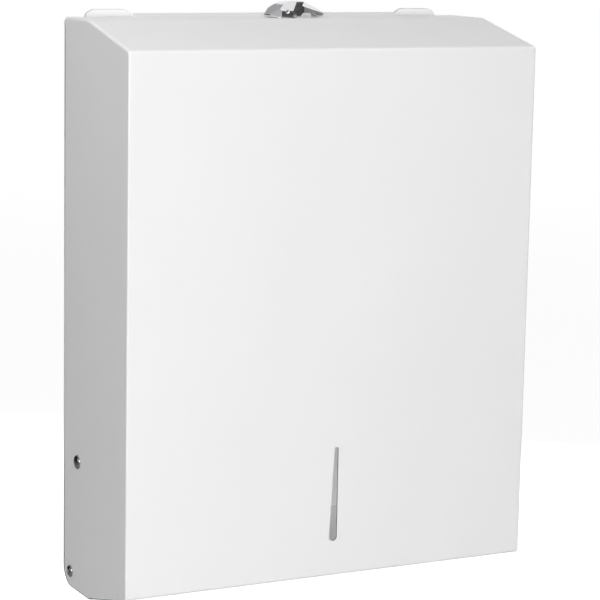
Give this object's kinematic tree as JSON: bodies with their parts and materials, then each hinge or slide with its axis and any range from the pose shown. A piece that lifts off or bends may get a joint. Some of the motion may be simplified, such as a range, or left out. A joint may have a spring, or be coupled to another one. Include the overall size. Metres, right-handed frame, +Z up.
{
  "type": "wall-mounted folded paper towel dispenser",
  "caption": "White painted steel dispenser for folded paper towels: a bottom-hinged cover with sloping top, tapered refill slot and chrome turn latch, on a wall plate.",
  "frame": {"origin": "centre of the four wall holes, on the back plate's wall side", "axes": "+Z up, +Y into the wall, so the front faces -Y, and +X to the right as seen from the front"},
  "size_m": [0.279, 0.1045, 0.3665],
  "materials": {
    "white_paint": "satin baked enamel on sheet steel, faint orange peel",
    "zinc": "bright zinc plate",
    "rivet_steel": "polished nickel-plated steel",
    "chrome": "polished chrome plate on die-cast zinc",
    "nylon": "natural nylon"
  },
  "bodies": {
    "back": {"back_plate": "white_paint", "hinge_bracket_left": "white_paint", "hinge_bracket_right": "white_paint", "bracket_rivets": "zinc", "towel_shelf": "white_paint", "shelf_rivets": "zinc", "strike_bracket": "zinc", "strike_rivets": "zinc", "pivot_rivet_left": "rivet_steel", "pivot_rivet_right": "rivet_steel", "pivot_washer_left": "nylon", "pivot_washer_right": "nylon"},
    "cover": {"cover_shell": "white_paint", "stop_stud_left": "rivet_steel", "stop_stud_right": "rivet_steel", "stop_washer_left": "zinc", "stop_washer_right": "zinc", "lock_bush": "chrome", "lock_star_washer": "zinc", "lock_nut": "zinc", "lever_washer": "nylon"},
    "latch": {"lock_lever": "chrome", "lever_grub_screw": "zinc", "lock_spindle": "zinc", "lock_cam": "zinc", "cam_spring_washer": "zinc", "cam_screw": "zinc"}
  },
  "joints": [
    {"name": "cover_swing", "type": "hinge", "parent": "back", "child": "cover", "pos_m": [0, -0.0152, -0.1677], "axis": [1, 0, 0], "range_deg": [0, 50]},
    {"name": "latch_turn", "type": "hinge", "parent": "cover", "child": "latch", "pos_m": [0, -0.022, 0.178], "axis": [0, 0, -1], "range_deg": [0, 90]}
  ]
}
